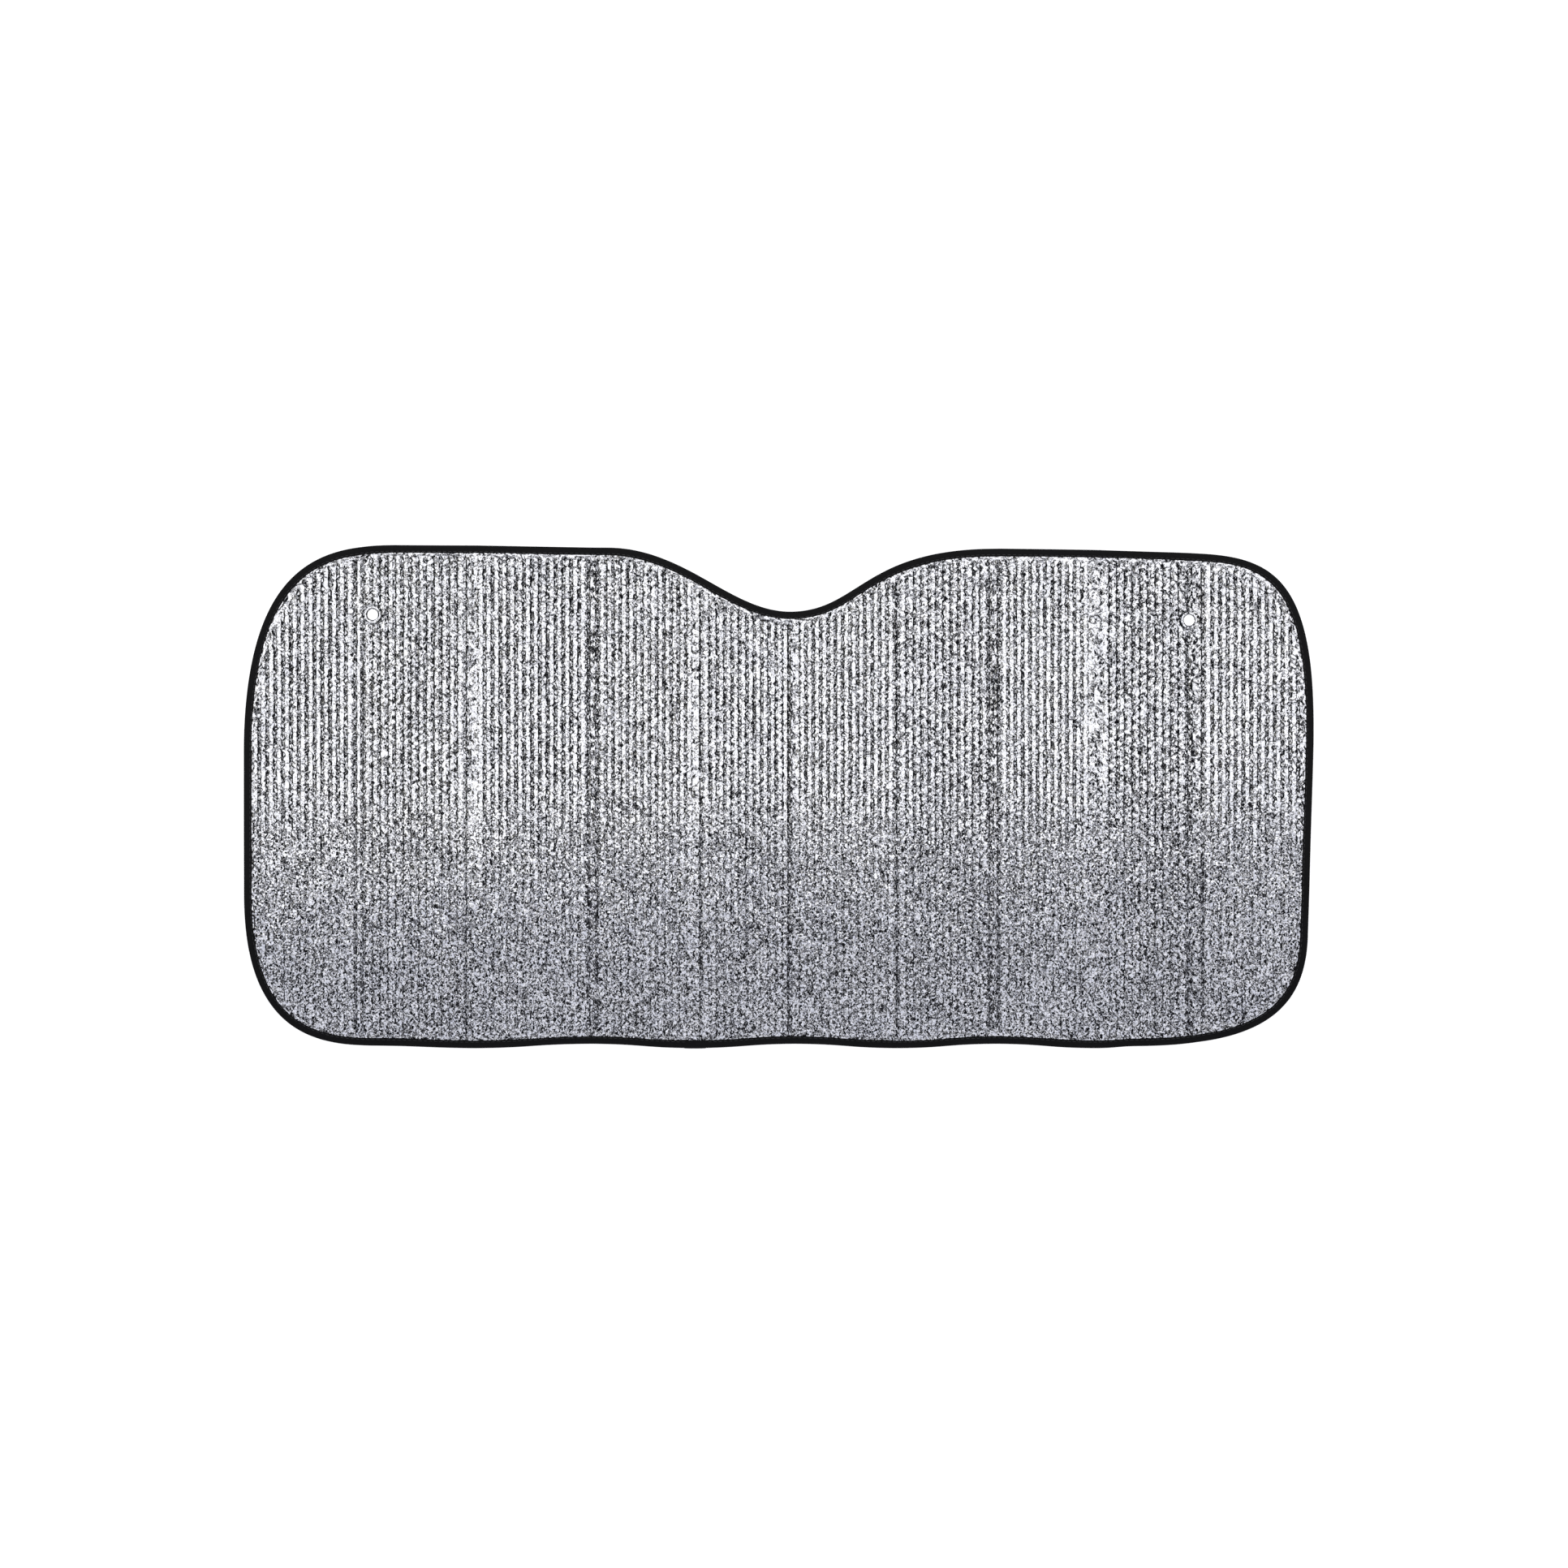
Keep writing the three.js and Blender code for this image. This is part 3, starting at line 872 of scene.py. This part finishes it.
def woven_tape():
    """Matt black polyester tape with fine ribs across it."""
    material, nodes, links, shader = new_material("woven_tape")
    shader.inputs["Roughness"].default_value = 0.72
    shader.inputs["Sheen Weight"].default_value = 0.04
    shader.inputs["Specular IOR Level"].default_value = 0.25
    shader.inputs["Sheen Roughness"].default_value = 0.4
    place = nodes.new("ShaderNodeUVMap")
    place.uv_map = "along_the_tape"
    ribs = nodes.new("ShaderNodeTexWave")
    ribs.wave_type = "BANDS"
    ribs.bands_direction = "X"
    ribs.inputs["Scale"].default_value = 330.0
    ribs.inputs["Distortion"].default_value = 0.5
    links.new(place.outputs["UV"], ribs.inputs["Vector"])
    threads = nodes.new("ShaderNodeTexWave")
    threads.wave_type = "BANDS"
    threads.bands_direction = "Y"
    threads.inputs["Scale"].default_value = 520.0
    links.new(place.outputs["UV"], threads.inputs["Vector"])
    weave = nodes.new("ShaderNodeMath")
    weave.operation = "MULTIPLY"
    links.new(ribs.outputs["Fac"], weave.inputs[0])
    links.new(threads.outputs["Fac"], weave.inputs[1])
    bump = nodes.new("ShaderNodeBump")
    bump.inputs["Distance"].default_value = 0.00012
    links.new(weave.outputs["Value"], bump.inputs["Height"])
    links.new(bump.outputs["Normal"], shader.inputs["Normal"])
    tint = nodes.new("ShaderNodeValToRGB")
    tint.color_ramp.elements[0].color = (0.003, 0.003, 0.0034, 1)
    tint.color_ramp.elements[1].color = (0.010, 0.010, 0.011, 1)
    links.new(weave.outputs["Value"], tint.inputs["Fac"])
    links.new(tint.outputs["Color"], shader.inputs["Base Color"])
    return material


def sewing_thread():
    """Dark twisted thread, a little lighter than the tape."""
    material, nodes, links, shader = new_material("sewing_thread")
    shader.inputs["Roughness"].default_value = 0.5
    place = nodes.new("ShaderNodeTexCoord")
    twist = nodes.new("ShaderNodeTexNoise")
    twist.inputs["Scale"].default_value = 1500.0
    links.new(place.outputs["Object"], twist.inputs["Vector"])
    tint = nodes.new("ShaderNodeValToRGB")
    tint.color_ramp.elements[0].color = (0.025, 0.025, 0.028, 1)
    tint.color_ramp.elements[1].color = (0.07, 0.07, 0.075, 1)
    links.new(twist.outputs["Fac"], tint.inputs["Fac"])
    links.new(tint.outputs["Color"], shader.inputs["Base Color"])
    return material


# The shade's pieces

foil = foil_sheet()
foil.data.materials.append(metallised_film())
tape = edge_tape()
tape.data.materials.append(woven_tape())
stitching = edge_stitching()
stitching.data.materials.append(sewing_thread())
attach(foil, "root")
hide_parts("foil_panel")
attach(tape, "root")
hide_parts("edge_binding")
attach(stitching, "root")


# Floor, lamps and surroundings

def floor_material():
    """Pale floor that shows white and keeps the shade's shadow."""
    material = bpy.data.materials.new("floor")
    material.use_nodes = True
    nodes, links = material.node_tree.nodes, material.node_tree.links
    nodes.clear()
    output = nodes.new("ShaderNodeOutputMaterial")
    diffuse = nodes.new("ShaderNodeBsdfDiffuse")
    diffuse.inputs["Color"].default_value = (0.8, 0.8, 0.8, 1)
    glow = nodes.new("ShaderNodeEmission")
    path = nodes.new("ShaderNodeLightPath")
    seen = nodes.new("ShaderNodeMath")
    seen.operation = "MAXIMUM"
    links.new(path.outputs["Is Camera Ray"], seen.inputs[0])
    links.new(path.outputs["Is Glossy Ray"], seen.inputs[1])
    seen_through = nodes.new("ShaderNodeMath")
    seen_through.operation = "MAXIMUM"
    links.new(seen.outputs[0], seen_through.inputs[0])
    links.new(path.outputs["Is Transmission Ray"], seen_through.inputs[1])
    strength = nodes.new("ShaderNodeMath")
    strength.operation = "MULTIPLY"
    strength.inputs[1].default_value = 0.66
    links.new(seen_through.outputs[0], strength.inputs[0])
    links.new(strength.outputs[0], glow.inputs["Strength"])
    both = nodes.new("ShaderNodeAddShader")
    links.new(diffuse.outputs[0], both.inputs[0])
    links.new(glow.outputs[0], both.inputs[1])
    links.new(both.outputs[0], output.inputs["Surface"])
    return material


def add_floor():
    """Flat floor just below the shade."""
    half = 15.0
    level = -0.0002
    mesh = bpy.data.meshes.new("floor")
    corners = [(-half, -half, level), (half, -half, level), (half, half, level), (-half, half, level)]
    mesh.from_pydata(corners, [], [(0, 1, 2, 3)])
    floor = bpy.data.objects.new("floor", mesh)
    bpy.context.scene.collection.objects.link(floor)
    mesh.materials.append(floor_material())


def add_area_lamp(name, place, size_x, size_y, energy, spread, turn, glossy, colour=(1, 1, 1)):
    """Area lamp in metres, watts and degrees. Only a glossy one is seen in the film."""
    lamp = bpy.data.lights.new(name, "AREA")
    lamp.shape = "RECTANGLE"
    lamp.size = size_x
    lamp.size_y = size_y
    lamp.energy = energy
    lamp.color = colour
    lamp.spread = math.radians(spread)
    lamp_object = bpy.data.objects.new(name, lamp)
    lamp_object.location = place
    lamp_object.rotation_euler = tuple(math.radians(angle) for angle in turn)
    lamp_object.visible_camera = False
    lamp_object.visible_glossy = glossy
    bpy.context.scene.collection.objects.link(lamp_object)


def add_lamps():
    """A low softbox over the upper half, whose lower side ends the bright part, and a soft fill."""
    add_area_lamp("softbox", place=(0.0, 0.40, 0.24), size_x=1.8, size_y=0.98, energy=0.78,
                  spread=88, turn=(0, -7, 3.5), glossy=True, colour=(1.0, 0.97, 0.86))
    add_area_lamp("fill", place=(0.0, 0.0, 2.4), size_x=3.0, size_y=2.4, energy=24.0,
                  spread=180, turn=(0, 0, 0), glossy=False)


# The room overhead and the bands round it: the direction's part that each goes by, where it
# starts and is whole, and its colour
overhead_colour = (0.71, 0.725, 0.825, 1)
room_bands = [
    ("Y", 0.12, 0.40, (1.04, 1.04, 1.10, 1)),
    ("Y", 0.44, 0.60, (0.11, 0.11, 0.12, 1)),
    ("Y", 0.76, 0.90, (0.75, 0.76, 0.80, 1)),
    ("X", 0.35, 0.53, (0.10, 0.10, 0.11, 1)),
    ("X", 0.50, 0.68, (0.008, 0.008, 0.010, 1)),
]
horizon_colour = (1.0, 1.0, 1.0, 1)
horizon_height = 0.10


def add_world():
    """A room that is white at the horizon and grey-blue overhead, with bands in between."""
    world = bpy.data.worlds.new("studio")
    bpy.context.scene.world = world
    world.use_nodes = True
    nodes, links = world.node_tree.nodes, world.node_tree.links
    background = nodes["Background"]
    place = nodes.new("ShaderNodeTexCoord")
    parts = nodes.new("ShaderNodeSeparateXYZ")
    links.new(place.outputs["Generated"], parts.inputs[0])

    def ramp(source, low, high):
        node = nodes.new("ShaderNodeMapRange")
        node.interpolation_type = "SMOOTHSTEP"
        node.inputs["From Min"].default_value = low
        node.inputs["From Max"].default_value = high
        links.new(source, node.inputs["Value"])
        return node.outputs["Result"]

    def mix(factor, first, second):
        node = nodes.new("ShaderNodeMix")
        node.data_type = "RGBA"
        links.new(factor, node.inputs["Factor"])
        for value, socket in ((first, node.inputs[6]), (second, node.inputs[7])):
            if isinstance(value, tuple):
                socket.default_value = value
            else:
                links.new(value, socket)
        return node.outputs[2]

    def without_sign(source):
        node = nodes.new("ShaderNodeMath")
        node.operation = "ABSOLUTE"
        links.new(source, node.inputs[0])
        return node.outputs[0]

    colour = overhead_colour
    for part, band_start, band_whole, band_colour in room_bands:
        share = ramp(without_sign(parts.outputs[part]), band_start, band_whole)
        colour = mix(share, colour, band_colour)
    colour = mix(ramp(parts.outputs["Z"], 0.0, horizon_height), horizon_colour, colour)
    links.new(colour, background.inputs["Color"])


add_floor()
add_lamps()
add_world()
bpy.context.scene.view_settings.view_transform = "Standard"
